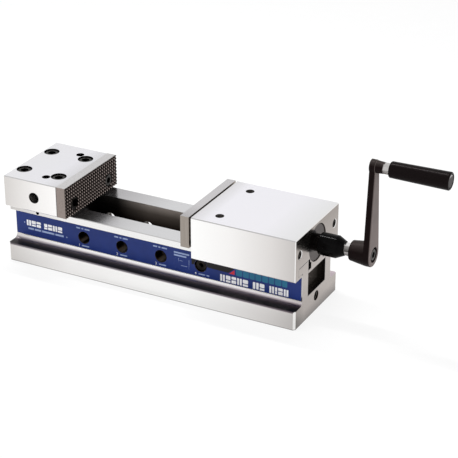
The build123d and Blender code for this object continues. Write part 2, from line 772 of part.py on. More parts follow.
# Thrust washer between the spindle's collar and the retaining ring
with BuildPart() as thrust_washer:
    with BuildSketch(across_bed(washer_front)):
        with Locations((0, spindle_height)):
            Circle(retainer_diameter / 2 - thread_clearance)
            Circle(journal_radius + guide_clearance, mode=Mode.SUBTRACT)
    extrude(amount=thrust_washer_thickness)
thrust_washer.part.label = "thrust_washer"
export_step(thrust_washer.part, "parts/thrust_washer.step")

# Spindle: one turned piece, threaded outside, with the cylinder, plunger bore and drive thread inside
gland_seat_radius = gland_diameter / 2 + thread_clearance
drive_thread_radius = drive_thread_diameter / 2 + thread_running_clearance
with BuildPart() as spindle:
    with BuildSketch(spindle_plane):
        with BuildLine():
            Polyline(
                (spindle_front, gland_seat_radius),
                (spindle_front, spindle_diameter / 2 - edge_chamfer),
                (spindle_front + edge_chamfer, spindle_diameter / 2),
                (collar_front, spindle_diameter / 2),
                (collar_front, collar_diameter / 2),
                (collar_back, collar_diameter / 2),
                (collar_back, journal_radius),
                (journal_back, journal_radius),
                (journal_back, drive_bore_diameter / 2),
                (drive_thread_end, drive_bore_diameter / 2),
                (drive_thread_end, drive_thread_radius),
                (drive_thread_start, drive_thread_radius),
                (drive_thread_start, plunger_bore_radius),
                (plunger_bore_start, plunger_bore_radius),
                (plunger_bore_start, cylinder_bore / 2),
                (gland_back, cylinder_bore / 2),
                (gland_back, gland_seat_radius),
                close=True,
            )
        make_face()
    revolve(axis=spindle_axis)
spindle.part.label = "spindle"
export_step(spindle.part, "parts/spindle.step")

# Gland ring that closes the cylinder round the piston rod
with BuildPart() as spindle_gland:
    with BuildSketch(across_bed(spindle_front)):
        with Locations((0, spindle_height)):
            Circle(gland_diameter / 2)
            Circle(piston_rod_diameter / 2 + piston_clearance, mode=Mode.SUBTRACT)
    extrude(amount=gland_length)
spindle_gland.part.label = "spindle_gland"
export_step(spindle_gland.part, "parts/spindle_gland.step")

# Booster piston: rod towards the thrust pad, head with a seal groove
piston_head_radius = cylinder_bore / 2 - piston_clearance
piston_seal_front = piston_head_front + (piston_head_length - seal_width) / 2
piston_seal_back = piston_seal_front + seal_width
with BuildPart() as booster_piston:
    with BuildSketch(spindle_plane):
        with BuildLine():
            Polyline(
                (piston_nose, 0),
                (piston_nose, piston_rod_diameter / 2 - edge_chamfer),
                (piston_nose + edge_chamfer, piston_rod_diameter / 2),
                (piston_head_front, piston_rod_diameter / 2),
                (piston_head_front, piston_head_radius),
                (piston_seal_front, piston_head_radius),
                (piston_seal_front, piston_head_radius - seal_depth),
                (piston_seal_back, piston_head_radius - seal_depth),
                (piston_seal_back, piston_head_radius),
                (piston_head_back, piston_head_radius),
                (piston_head_back, 0),
                close=True,
            )
        make_face()
    revolve(axis=spindle_axis)
booster_piston.part.label = "booster_piston"
export_step(booster_piston.part, "parts/booster_piston.step")

# Seal ring of the booster piston
with BuildPart() as piston_seal:
    with BuildSketch(across_bed(piston_seal_front + seal_clearance)):
        with Locations((0, spindle_height)):
            Circle(cylinder_bore / 2 - seal_clearance)
            Circle(piston_head_radius - seal_depth + seal_clearance, mode=Mode.SUBTRACT)
    extrude(amount=seal_width - 2 * seal_clearance)
piston_seal.part.label = "piston_seal"
export_step(piston_seal.part, "parts/piston_seal.step")

# Disc springs that push the booster piston back, stacked tip to tip
spring_stack_back = piston_head_front - spring_piston_gap
spring_stack_front = gland_back + spring_gland_gap
disc_spring_step = (spring_stack_back - spring_stack_front) / disc_spring_count
disc_spring_height = disc_spring_step - disc_spring_thickness
disc_spring_inner = piston_rod_diameter / 2 + thread_clearance
disc_spring_outer = cylinder_bore / 2 - piston_clearance
with BuildPart() as return_springs:
    for index in range(disc_spring_count):
        start = spring_stack_front + index * disc_spring_step
        edges = (disc_spring_inner, disc_spring_outer)
        if index % 2:
            edges = (disc_spring_outer, disc_spring_inner)
        section = cone_spring_section(start, disc_spring_height, disc_spring_thickness, *edges)
        with BuildSketch(spindle_plane):
            with BuildLine():
                Polyline(*section, close=True)
            make_face()
        revolve(axis=spindle_axis)
return_springs.part.label = "return_springs"
export_step(return_springs.part, "parts/return_springs.step")

# Pressure plunger that the drive screw pushes into the oil
plunger_seal_front = plunger_front + plunger_seal_distance
plunger_seal_back = plunger_seal_front + plunger_seal_width
plunger_groove_radius = plunger_diameter / 2 - plunger_seal_depth
with BuildPart() as pressure_plunger:
    with BuildSketch(spindle_plane):
        with BuildLine():
            Polyline(
                (plunger_front, 0),
                (plunger_front, plunger_diameter / 2 - edge_chamfer),
                (plunger_front + edge_chamfer, plunger_diameter / 2),
                (plunger_seal_front, plunger_diameter / 2),
                (plunger_seal_front, plunger_groove_radius),
                (plunger_seal_back, plunger_groove_radius),
                (plunger_seal_back, plunger_diameter / 2),
                (plunger_back, plunger_diameter / 2),
                (plunger_back, 0),
                close=True,
            )
        make_face()
    revolve(axis=spindle_axis)
pressure_plunger.part.label = "pressure_plunger"
export_step(pressure_plunger.part, "parts/pressure_plunger.step")

# Seal ring of the plunger
with BuildPart() as plunger_seal:
    with BuildSketch(across_bed(plunger_seal_front + plunger_clearance)):
        with Locations((0, spindle_height)):
            Circle(plunger_diameter / 2)
            Circle(plunger_groove_radius + plunger_clearance, mode=Mode.SUBTRACT)
    extrude(amount=plunger_seal_width - 2 * plunger_clearance)
plunger_seal.part.label = "plunger_seal"
export_step(plunger_seal.part, "parts/plunger_seal.step")

# Clutch sleeve: a black turned sleeve with a cone nose, screwed on the spindle's journal
sleeve_radius = sleeve_diameter / 2
with BuildPart() as clutch_sleeve:
    with BuildSketch(spindle_plane):
        with BuildLine():
            Polyline(
                (sleeve_front, journal_radius + thread_clearance),
                (sleeve_front, sleeve_radius - sleeve_edge_chamfer),
                (sleeve_front + sleeve_edge_chamfer, sleeve_radius),
                (sleeve_cylinder_back, sleeve_radius),
                (sleeve_back, sleeve_nose_diameter / 2),
                (sleeve_back, drive_bore_diameter / 2),
                (clutch_chamber_back, drive_bore_diameter / 2),
                (clutch_chamber_back, clutch_bore / 2),
                (journal_back, clutch_bore / 2),
                (journal_back, journal_radius + thread_clearance),
                close=True,
            )
        make_face()
    revolve(axis=spindle_axis)
clutch_sleeve.part.label = "clutch_sleeve"
export_step(clutch_sleeve.part, "parts/clutch_sleeve.step")

# Clutch plate, with the rollers between it and the sleeve's inner end
clutch_plate_back = clutch_chamber_back - clutch_roller_diameter - 2 * clutch_gap
clutch_plate_front = clutch_plate_back - clutch_plate_thickness
clutch_inner_radius = drive_bore_diameter / 2
clutch_outer_radius = clutch_bore / 2 - clutch_gap
with BuildPart() as clutch_plate:
    with BuildSketch(across_bed(clutch_plate_front)):
        with Locations((0, spindle_height)):
            Circle(clutch_outer_radius)
            Circle(clutch_inner_radius, mode=Mode.SUBTRACT)
    extrude(amount=clutch_plate_thickness)
clutch_plate.part.label = "clutch_plate"
export_step(clutch_plate.part, "parts/clutch_plate.step")

# Clutch rollers, lying like spokes round the drive screw
roller_inner_end = (clutch_inner_radius + clutch_bore / 2 - clutch_roller_length) / 2
roller_place = clutch_plate_back + clutch_gap + clutch_roller_diameter / 2
with BuildPart() as clutch_rollers:
    with Locations(Plane(origin=(roller_place, 0, spindle_height), x_dir=(0, 0, 1), z_dir=(1, 0, 0))):
        with PolarLocations(roller_inner_end, clutch_roller_count):
            Cylinder(
                clutch_roller_diameter / 2,
                clutch_roller_length,
                rotation=(0, 90, 0),
                align=standing,
            )
clutch_rollers.part.label = "clutch_rollers"
export_step(clutch_rollers.part, "parts/clutch_rollers.step")

# Clutch springs: a stack of disc springs between the journal's end and the plate
clutch_spring_front = journal_back + clutch_gap
clutch_spring_step = (clutch_plate_front - clutch_gap - clutch_spring_front) / clutch_spring_count
clutch_spring_height = clutch_spring_step - clutch_spring_thickness
with BuildPart() as clutch_springs:
    for index in range(clutch_spring_count):
        start = clutch_spring_front + index * clutch_spring_step
        edges = (clutch_inner_radius, clutch_outer_radius)
        if index % 2:
            edges = (clutch_outer_radius, clutch_inner_radius)
        section = cone_spring_section(start, clutch_spring_height, clutch_spring_thickness, *edges)
        with BuildSketch(spindle_plane):
            with BuildLine():
                Polyline(*section, close=True)
            make_face()
        revolve(axis=spindle_axis)
clutch_springs.part.label = "clutch_springs"
export_step(clutch_springs.part, "parts/clutch_springs.step")

# Drive screw: thread inside the spindle, round shank, hexagon for the crank
drive_front = plunger_back + plunger_contact_gap
drive_end = hub_socket_end - guide_clearance
with BuildPart() as drive_screw:
    with BuildSketch(spindle_plane):
        with BuildLine():
            Polyline(
                (drive_front, 0),
                (drive_front, drive_thread_diameter / 2 - edge_chamfer),
                (drive_front + edge_chamfer, drive_thread_diameter / 2),
                (drive_shoulder, drive_thread_diameter / 2),
                (drive_shoulder, drive_shank_diameter / 2),
                (drive_hex_start, drive_shank_diameter / 2),
                (drive_hex_start, 0),
                close=True,
            )
        make_face()
    revolve(axis=spindle_axis)
    with BuildSketch(across_bed(drive_hex_start)):
        with Locations((0, spindle_height)):
            RegularPolygon(drive_hex_size / 2, 6, major_radius=False)
    extrude(amount=drive_end - drive_hex_start)
    with Locations(mouth(drive_end, 0, spindle_height, (1, 0, 0))):
        Hole(crank_screw_shank_diameter / 2 + thread_clearance, crank_screw_shank_length)
drive_screw.part.label = "drive_screw"
export_step(drive_screw.part, "parts/drive_screw.step")

# Crank: cone hub, tapered arm and handle boss in one forging
with BuildPart() as crank:
    with BuildSketch(across_bed(arm_inner)):
        with Locations((0, spindle_height)):
            Circle(hub_root_diameter / 2)
        with Locations((0, grip_height)):
            Circle(handle_boss_root_diameter / 2)
        with BuildLine():
            Polyline(
                (-arm_root_width / 2, spindle_height),
                (arm_root_width / 2, spindle_height),
                (arm_tip_width / 2, grip_height),
                (-arm_tip_width / 2, grip_height),
                close=True,
            )
        make_face()
    extrude(amount=arm_thickness)
    fillet(crank.faces().sort_by(Axis.X)[-1].edges(), arm_edge_fillet)
    with BuildSketch(spindle_plane):
        with BuildLine():
            Polyline(
                (hub_front, 0),
                (hub_front, hub_front_diameter / 2),
                (arm_inner, hub_root_diameter / 2),
                (arm_inner, 0),
                close=True,
            )
        make_face()
    revolve(axis=spindle_axis)
    fillet(edges_at(crank, x=hub_front), hub_edge_fillet)
    with BuildSketch(grip_plane):
        with BuildLine():
            Polyline(
                (arm_inner, 0),
                (arm_inner, handle_boss_root_diameter / 2),
                (handle_boss_end, handle_boss_end_diameter / 2),
                (handle_boss_end, 0),
                close=True,
            )
        make_face()
    revolve(axis=grip_axis)
    with BuildSketch(across_bed(hub_front)):
        with Locations((0, spindle_height)):
            RegularPolygon(drive_hex_size / 2 + hub_socket_clearance, 6, major_radius=False)
    extrude(amount=hub_socket_depth, mode=Mode.SUBTRACT)
    with Locations(mouth(arm_outer, 0, spindle_height, (1, 0, 0))):
        CounterBoreHole(
            crank_screw_shank_diameter / 2 + crank_screw_shank_clearance,
            crank_screw_counterbore / 2,
            crank_screw_counterbore_depth,
            arm_outer - hub_socket_end,
        )
    with Locations(mouth(handle_boss_end, 0, grip_height, (1, 0, 0))):
        Hole(grip_rivet_diameter / 2, handle_boss_end - arm_inner)
crank.part.label = "crank"
export_step(crank.part, "parts/crank.step")

# Screw that holds the crank on the hexagon
with BuildPart() as crank_screw:
    with BuildSketch(across_bed(crank_screw_seat)):
        with Locations((0, spindle_height)):
            Circle(crank_screw_head_diameter / 2)
    extrude(amount=crank_screw_head_height)
    chamfer(edges_at(crank_screw, x=crank_screw_seat + crank_screw_head_height), edge_chamfer)
    with BuildSketch(across_bed(crank_screw_seat)):
        with Locations((0, spindle_height)):
            Circle(crank_screw_shank_diameter / 2)
    extrude(amount=-crank_screw_shank_length)
    with BuildSketch(across_bed(crank_screw_seat + crank_screw_head_height)):
        with Locations((0, spindle_height)):
            RegularPolygon(crank_screw_socket_size / 2, 6, major_radius=False)
    extrude(amount=-crank_screw_socket_depth, mode=Mode.SUBTRACT)
crank_screw.part.label = "crank_screw"
export_step(crank_screw.part, "parts/crank_screw.step")

# Grip pin: riveted in the boss, with a hexagon collar, a journal and a flat head
with BuildPart() as grip_pin:
    with BuildSketch(grip_plane):
        with BuildLine():
            Polyline(
                (arm_inner, 0),
                (arm_inner, grip_rivet_diameter / 2),
                (handle_boss_end, grip_rivet_diameter / 2),
                (handle_boss_end, grip_pin_diameter / 2),
                (grip_head_front, grip_pin_diameter / 2),
                (grip_head_front, grip_head_diameter / 2),
                (grip_head_front + grip_head_thickness - grip_head_chamfer, grip_head_diameter / 2),
                (grip_head_front + grip_head_thickness, grip_head_diameter / 2 - grip_head_chamfer),
                (grip_head_front + grip_head_thickness, 0),
                close=True,
            )
        make_face()
    revolve(axis=grip_axis)
    with BuildSketch(across_bed(handle_boss_end)):
        with Locations((0, grip_height)):
            RegularPolygon(grip_collar_size / 2, 6, major_radius=False)
    extrude(amount=grip_collar_length)
grip_pin.part.label = "grip_pin"
export_step(grip_pin.part, "parts/grip_pin.step")

# Grip: a turned sleeve, wider at its outer end, with a recess for the pin's head
grip_bore_radius = grip_pin_diameter / 2 + grip_bore_clearance
with BuildPart() as grip:
    with BuildSketch(grip_plane):
        with BuildLine():
            Polyline(
                (grip_front, grip_bore_radius),
                (grip_front, grip_inner_diameter / 2),
                (grip_back, grip_outer_diameter / 2),
                (grip_back, grip_recess_diameter / 2),
                (grip_recess_floor, grip_recess_diameter / 2),
                (grip_recess_floor, grip_bore_radius),
                close=True,
            )
        make_face()
    revolve(axis=grip_axis)
    fillet(
        grip.faces().filter_by(GeomType.CONE).edges().filter_by(GeomType.CIRCLE),
        grip_edge_fillet,
    )
grip.part.label = "grip"
export_step(grip.part, "parts/grip.step")
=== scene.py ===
import math
import bpy
from mathutils import Matrix, Vector


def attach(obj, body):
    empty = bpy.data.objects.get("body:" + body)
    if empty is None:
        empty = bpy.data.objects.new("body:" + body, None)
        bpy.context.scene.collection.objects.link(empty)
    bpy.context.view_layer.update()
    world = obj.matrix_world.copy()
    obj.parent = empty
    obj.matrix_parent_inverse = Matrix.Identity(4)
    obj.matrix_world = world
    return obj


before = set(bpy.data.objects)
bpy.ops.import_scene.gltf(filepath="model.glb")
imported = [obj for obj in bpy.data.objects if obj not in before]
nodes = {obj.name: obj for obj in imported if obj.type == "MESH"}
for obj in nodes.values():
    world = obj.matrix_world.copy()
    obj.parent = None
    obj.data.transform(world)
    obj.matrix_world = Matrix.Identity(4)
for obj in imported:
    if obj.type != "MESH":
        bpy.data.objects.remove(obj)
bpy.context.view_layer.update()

# Bed: one steel casting, milled all over and ground on the faces that show. The wheel ran
# lengthwise and left faint lines. The ends are only milled, and darker, with painted shade
# towards the bottom. The fronts carry a painted reflection that fades towards both ends, and
# the tops a painted sheen. The top of the front flange is a little rougher with oil and carries
# a painted reflection of the label; the channel and the bores are painted with shade.


def material_tree(name, metallic=0.0):
    material = bpy.data.materials.new(name)
    material.use_nodes = True
    tree = material.node_tree
    shader = tree.nodes["Principled BSDF"]
    shader.inputs["Metallic"].default_value = metallic
    return material, tree, shader


def node(tree, kind, **settings):
    made = tree.nodes.new(kind)
    for key, value in settings.items():
        if key in made.inputs:
            made.inputs[key].default_value = value
        else:
            setattr(made, key, value)
    return made


def colour_steps(tree, source, steps):
    ramp = tree.nodes.new("ShaderNodeValToRGB")
    while len(ramp.color_ramp.elements) < len(steps):
        ramp.color_ramp.elements.new(0.5)
    for element, (place, colour) in zip(ramp.color_ramp.elements, steps):
        element.position = place
        element.color = (*colour, 1.0)
    tree.links.new(source, ramp.inputs["Fac"])
    return ramp.outputs["Color"]


def two_tone(tree, grain, dark, light, start=0.3, stop=0.7):
    return colour_steps(tree, grain, ((start, dark), (stop, light)))


def blended(tree, factor, first, second, how="MIX"):
    mix = node(tree, "ShaderNodeMix", data_type="RGBA", blend_type=how)
    if isinstance(factor, float):
        mix.inputs["Factor"].default_value = factor
    else:
        tree.links.new(factor, mix.inputs["Factor"])
    for socket, value in ((mix.inputs["A"], first), (mix.inputs["B"], second)):
        if isinstance(value, tuple):
            socket.default_value = (*value, 1.0)
        else:
            tree.links.new(value, socket)
    return mix.outputs["Result"]


def spread(tree, source, start, stop, low=0.0, high=1.0):
    made = node(tree, "ShaderNodeMapRange")
    for key, value in (("From Min", start), ("From Max", stop), ("To Min", low), ("To Max", high)):
        made.inputs[key].default_value = value
    tree.links.new(source, made.inputs["Value"])
    return made.outputs["Result"]


def read_off(tree, kind, axis, start, stop):
    place = node(tree, "ShaderNodeTexCoord")
    parts = node(tree, "ShaderNodeSeparateXYZ")
    tree.links.new(place.outputs[kind], parts.inputs["Vector"])
    return spread(tree, parts.outputs[axis], start, stop)


def facing(tree, axis, start, stop):
    return read_off(tree, "Normal", axis, start, stop)


def placed(tree, axis, start, stop):
    return read_off(tree, "Object", axis, start, stop)


def beyond(tree, axis, place, blur=0.0001):
    return placed(tree, axis, place - blur, place + blur)


def short_of(tree, axis, place, blur=0.0001):
    return placed(tree, axis, place + blur, place - blur)


def joined(tree, how, *factors):
    result = factors[0]
    for factor in factors[1:]:
        step = node(tree, "ShaderNodeMath", operation=how)
        tree.links.new(result, step.inputs[0])
        tree.links.new(factor, step.inputs[1])
        result = step.outputs[0]
    return result


def in_bores(tree, bores):
    factors = []
    for centre, across, radius in bores:
        place = node(tree, "ShaderNodeTexCoord")
        flat = node(tree, "ShaderNodeVectorMath", operation="MULTIPLY")
        flat.inputs[1].default_value = across
        tree.links.new(place.outputs["Object"], flat.inputs[0])
        away = node(tree, "ShaderNodeVectorMath", operation="DISTANCE")
        away.inputs[1].default_value = centre
        tree.links.new(flat.outputs["Vector"], away.inputs[0])
        factors.append(spread(tree, away.outputs["Value"], radius + 0.0001, radius))
    return joined(tree, "MAXIMUM", *factors)


def grained(tree, scale, detail=6.0, stretch=(1.0, 1.0, 1.0)):
    place = node(tree, "ShaderNodeTexCoord")
    mapping = node(tree, "ShaderNodeMapping")
    mapping.inputs["Scale"].default_value = stretch
    tree.links.new(place.outputs["Object"], mapping.inputs["Vector"])
    noise = node(tree, "ShaderNodeTexNoise", Scale=scale, Detail=detail)
    tree.links.new(mapping.outputs["Vector"], noise.inputs["Vector"])
    return noise.outputs["Fac"]


def roughened(tree, shader, grain, low, high):
    tree.links.new(spread(tree, grain, 0.3, 0.7, low, high), shader.inputs["Roughness"])


def embossed(tree, shader, grain, strength, height):
    bump = node(tree, "ShaderNodeBump", Strength=strength, Distance=height)
    tree.links.new(grain, bump.inputs["Height"])
    tree.links.new(bump.outputs["Normal"], shader.inputs["Normal"])


def coloured(tree, shader, colour):
    tree.links.new(colour, shader.inputs["Base Color"])


def dressed(name, material):
    slots = nodes[name].data.materials
    slots.clear()
    slots.append(material)


left_end, right_end = -0.2100, 0.2100
rail_top = 0.0790
jaw_top = 0.1208


def ground_steel(name, top_sheen_steps):
    material, tree, shader = material_tree(name, metallic=1.0)
    wheel_lines = grained(tree, 900.0, stretch=(0.02, 1.0, 1.0))
    plain = two_tone(tree, grained(tree, 9.0, 3.0), (0.80, 0.785, 0.77), (0.86, 0.85, 0.84))
    # Front faces: a painted reflection, brightest in the middle and fading towards both ends.
    front = colour_steps(tree, placed(tree, "X", left_end, right_end), (
        (0.0, (0.66, 0.635, 0.615)), (0.12, (0.88, 0.86, 0.845)), (0.22, (0.99, 0.975, 0.965)),
        (0.64, (0.99, 0.99, 0.98)), (0.79, (0.89, 0.875, 0.865)), (0.92, (0.72, 0.695, 0.68)),
        (1.0, (0.56, 0.535, 0.52)),
    ))
    # Top faces: a painted sheen that varies along the length.
    top = colour_steps(tree, placed(tree, "X", left_end, right_end), top_sheen_steps)
    # End faces: a darker milled finish, with painted shade towards the bottom and a little towards the top.
    milled_and_shaded = colour_steps(tree, placed(tree, "Z", 0.0, 0.12), (
        (0.0, (0.20, 0.18, 0.17)), (0.13, (0.40, 0.36, 0.335)), (0.5, (0.44, 0.40, 0.375)),
        (1.0, (0.30, 0.265, 0.24)),
    ))
    colour = blended(tree, facing(tree, "Y", -0.8, -0.95), plain, front)
    colour = blended(tree, facing(tree, "Z", 0.8, 0.95), colour, top)
    colour = blended(tree, facing(tree, "X", 0.85, 0.95), colour, milled_and_shaded)
    colour = blended(tree, facing(tree, "X", -0.85, -0.95), colour, milled_and_shaded)
    roughened(tree, shader, wheel_lines, 0.2, 0.24)
    embossed(tree, shader, wheel_lines, 0.035, 0.00003)
    return material, tree, shader, colour


# The bed's tops: painted sheen steps along its length.
bed_steel, tree, shader, colour = ground_steel("bed_steel", (
    (0.0, (0.60, 0.595, 0.60)), (0.27, (0.43, 0.42, 0.43)), (0.46, (0.64, 0.64, 0.65)),
    (1.0, (0.70, 0.70, 0.71)),
))
# Painted shade on the front faces: darker near the bottom and along the rail above the label.
front_height_shade = colour_steps(tree, placed(tree, "Z", 0.0, rail_top), (
    (0.0, (0.86, 0.86, 0.86)), (0.3, (0.90, 0.90, 0.90)), (0.5, (1.0, 1.0, 1.0)), (0.8, (0.86, 0.86, 0.86)),
))
shaded = blended(tree, 1.0, colour, front_height_shade, "MULTIPLY")
colour = blended(tree, facing(tree, "Y", -0.8, -0.95), colour, shaded)
# A painted contact shadow: a thin dark line along the bottom edge of the front.
contact_shadow_line = joined(tree, "MULTIPLY", short_of(tree, "Z", 0.0007, 0.0002), facing(tree, "Y", -0.3, -0.5))
colour = blended(tree, contact_shadow_line, colour, (0.16, 0.15, 0.145))
# Painted shade in the lower front corner of the +X end.
end_corner_shade = joined(
    tree, "MULTIPLY", facing(tree, "X", 0.85, 0.95), placed(tree, "Y", -0.036, -0.058),
    placed(tree, "Z", 0.032, 0.008),
)
colour = blended(tree, end_corner_shade, colour, (0.13, 0.115, 0.105))

wall_face = 0.0410
flange_side = 0.0615
beside_wall = joined(tree, "MAXIMUM", short_of(tree, "Y", -wall_face), beyond(tree, "Y", wall_face))
flange_top = joined(
    tree, "MULTIPLY", beside_wall, placed(tree, "Z", 0.0300, 0.0262), placed(tree, "Z", 0.0226, 0.0232),
    facing(tree, "X", 0.5, 0.3), facing(tree, "X", -0.5, -0.3),
)
# The flange top is painted with a reflection of the label and the wall: a bright line at the wall, dark
# purple across the middle, lighter at the outer edge, fading towards both ends.
reflection_along_flange = colour_steps(tree, placed(tree, "X", left_end, right_end), (
    (0.0, (0.72, 0.67, 0.69)), (0.15, (0.95, 0.90, 0.93)), (0.5, (1.0, 0.95, 0.99)),
    (0.8, (0.80, 0.72, 0.77)), (1.0, (0.55, 0.46, 0.50)),
))
reflection_across_flange = colour_steps(tree, placed(tree, "Y", -wall_face, -flange_side), (
    (0.0, (1.0, 1.0, 1.0)), (0.14, (0.52, 0.50, 0.51)), (0.28, (0.19, 0.17, 0.18)),
    (0.42, (0.055, 0.045, 0.055)), (0.58, (0.014, 0.010, 0.013)), (0.93, (0.006, 0.004, 0.005)),
    (1.0, (0.30, 0.29, 0.30)),
))
colour = blended(tree, flange_top, colour, blended(tree, 1.0, reflection_along_flange, reflection_across_flange, "MULTIPLY"))
oil = spread(tree, flange_top, 0.0, 1.0, 0.0, 0.12)
wheel_roughness = shader.inputs["Roughness"].links[0].from_socket
tree.links.new(joined(tree, "ADD", wheel_roughness, oil), shader.inputs["Roughness"])

channel_side = 0.0252
channel_floor = 0.0302
channel = joined(
    tree, "MULTIPLY", beyond(tree, "Y", -channel_side), short_of(tree, "Y", channel_side),
    beyond(tree, "Z", channel_floor), short_of(tree, "Z", rail_top - 0.0003),
    facing(tree, "X", -0.95, -0.85), facing(tree, "Z", -0.5, -0.4),
)
# Painted shade in the channel: darker downwards, black under the fixed jaw, lit in the middle and dimmer
# towards the +X end.
shade_with_depth = colour_steps(tree, placed(tree, "Z", 0.031, rail_top), (
    (0.0, (0.02, 0.015, 0.012)), (0.45, (0.045, 0.034, 0.029)), (0.75, (0.17, 0.145, 0.13)),
    (1.0, (0.52, 0.47, 0.44)),
))
light_and_shade_along = colour_steps(tree, placed(tree, "X", -0.125, 0.209), (
    (0.0, (0.03, 0.03, 0.03)), (0.1, (0.05, 0.05, 0.05)), (0.24, (0.9, 0.88, 0.85)),
    (0.45, (0.8, 0.77, 0.74)), (0.75, (0.6, 0.56, 0.52)), (1.0, (0.4, 0.36, 0.33)),
))
channel_light_and_shade = blended(tree, 1.0, shade_with_depth, light_and_shade_along, "MULTIPLY")
# Painted shade deepening into the end of the channel under the movable jaw.
shade_at_channel_end = colour_steps(tree, placed(tree, "X", 0.170, 0.209), (
    (0.0, (0.50, 0.46, 0.42)), (0.45, (0.34, 0.30, 0.27)), (0.75, (0.03, 0.025, 0.02)),
    (1.0, (0.004, 0.003, 0.003)),
))
channel_light_and_shade = blended(tree, placed(tree, "X", 0.160, 0.170), channel_light_and_shade, shade_at_channel_end)
colour = blended(tree, channel, colour, channel_light_and_shade)
tree.links.new(spread(tree, channel, 0.0, 1.0, 1.0, 0.25), shader.inputs["Metallic"])
shader.inputs["Specular IOR Level"].default_value = 0.15

hole_places = (-0.1040, -0.0466, 0.0108, 0.0682)
hole_height = 0.0464
end_tap_height = 0.0200
bed_bores = [((place, 0, hole_height), (1, 0, 1), 0.00862) for place in hole_places]
bed_bores.append(((-0.1667, 0, 0.0725), (1, 0, 1), 0.0023))
end_bore = in_bores(tree, [((0, 0, end_tap_height), (0, 1, 1), 0.00665)])
end_bore = joined(tree, "MULTIPLY", end_bore, beyond(tree, "X", 0.1605, 0.0005))
bores = joined(tree, "MAXIMUM", in_bores(tree, bed_bores), end_bore)
# The bores are painted dark inside with shade.
coloured(tree, shader, blended(tree, bores, colour, (0.030, 0.022, 0.016)))
dressed("body", bed_steel)

# Label: a thin printed sheet stuck along the front wall under the rail, with round cut-outs
# at the range holes. Its print is plain here: rows of blocks, a simple sketch of two jaws
# and the numbers of the holes.
label_left, label_right = -0.2087, 0.2076
label_bottom, label_top = 0.0312, 0.0640
label_face = -0.04115
label_thickness = 0.00014
print_thickness = 0.00002
print_face = label_face - print_thickness
cut_out_radius = 0.0087


def rounded_outline(left, bottom, right, top, radius):
    points = []
    for centre_x, centre_z, start in (
        (right - radius, bottom + radius, -90), (right - radius, top - radius, 0),
        (left + radius, top - radius, 90), (left + radius, bottom + radius, 180),
    ):
        for step in range(7):
            turn = math.radians(start + step * 15)
            points.append((centre_x + radius * math.cos(turn), centre_z + radius * math.sin(turn)))
    return points


def arc_points(x, z, radius, start, stop, count):
    turns = [math.radians(start + (stop - start) * step / count) for step in range(count + 1)]
    return [(x + radius * math.cos(turn), z + radius * math.sin(turn)) for turn in turns]


def solid_from(drawn, name, placed_at, material):
    bpy.context.view_layer.update()
    mesh = bpy.data.meshes.new_from_object(drawn.evaluated_get(bpy.context.evaluated_depsgraph_get()))
    bpy.data.objects.remove(drawn)
    mesh.name = name
    mesh.transform(placed_at @ Matrix.Rotation(math.pi / 2, 4, "X"))
    mesh.materials.clear()
    mesh.materials.append(material)
    made = bpy.data.objects.new(name, mesh)
    bpy.context.scene.collection.objects.link(made)
    return made


def sheet_on_wall(name, outlines, face, thickness, material):
    curve = bpy.data.curves.new(name, "CURVE")
    curve.dimensions = "2D"
    curve.fill_mode = "BOTH"
    curve.extrude = thickness / 2
    for outline in outlines:
        spline = curve.splines.new("POLY")
        spline.points.add(len(outline) - 1)
        for point, (x, z) in zip(spline.points, outline):
            point.co = (x, z, 0, 1)
        spline.use_cyclic_u = True
    drawn = bpy.data.objects.new(name, curve)
    bpy.context.scene.collection.objects.link(drawn)
    made = solid_from(drawn, name, Matrix.Translation((0, face + thickness / 2, 0)), material)
    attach(made, "base")


def film(name, colour, roughness):
    material, tree, shader = material_tree(name)
    shader.inputs["Specular IOR Level"].default_value = 0.22
    mottled = grained(tree, 60.0, 4.0)
    darker = tuple(0.84 * part for part in colour)
    coloured(tree, shader, two_tone(tree, mottled, darker, colour))
    roughened(tree, shader, mottled, roughness, roughness + 0.08)
    embossed(tree, shader, grained(tree, 700.0, 2.0), 0.04, 0.00003)
    return material


blue_film = film("blue_film", (0.011, 0.030, 0.175), 0.32)
white_ink = film("white_ink", (0.90, 0.90, 0.92), 0.45)
pale_ink = film("pale_ink", (0.30, 0.38, 0.60), 0.45)
dark_ink = film("dark_ink", (0.012, 0.010, 0.010), 0.4)
teal_ink = film("teal_ink", (0.020, 0.150, 0.265), 0.42)
red_ink = film("red_ink", (0.60, 0.03, 0.05), 0.42)

label_outline = rounded_outline(label_left, label_bottom, label_right, label_top, 0.0012)
cut_outs = [arc_points(place, hole_height, cut_out_radius, 0, 352.5, 47) for place in hole_places]
sheet_on_wall("side_label", [label_outline] + cut_outs, label_face, label_thickness, blue_film)


def bar(left, bottom, right, top):
    return rounded_outline(left, bottom, right, top, min(right - left, top - bottom) * 0.2)


def row_of_bars(left, bottom, height, widths, gap):
    # A width below zero leaves a space of that size.
    made = []
    for width in widths:
        if width > 0:
            made.append(bar(left, bottom, left + width, bottom + height))
        left += abs(width) + gap
    return made


def split_blocks(left, bottom, height, widths, gap):
    made = []
    for index, width in enumerate(widths):
        if width > 0:
            slot = 0.16 * min(width, height)
            if index % 3 == 0:
                half = (width - slot) / 2
                made += row_of_bars(left, bottom, height, (half, half), slot)
            else:
                low = (0.30, 0.48)[index % 3 - 1] * height
                made.append(bar(left, bottom, left + width, bottom + low))
                made.append(bar(left, bottom + low + slot, left + width, bottom + height))
        left += abs(width) + gap
    return made


left_widths = (0.0066, 0.0066, 0.0066, -0.0030, 0.0050, 0.0066, 0.0066, 0.0066)
right_widths = (
    0.0065, 0.0065, 0.0065, 0.0065, 0.0072, -0.0040, 0.0080, 0.0065, -0.0040, 0.0065, 0.0028, 0.0062, 0.0062,
)
white_bars = split_blocks(-0.1925, 0.0452, 0.0080, left_widths, 0.0011)
white_bars += split_blocks(0.0960, 0.0324, 0.0093, right_widths, 0.0014)
sheet_on_wall("label_blocks", white_bars, print_face, print_thickness, white_ink)

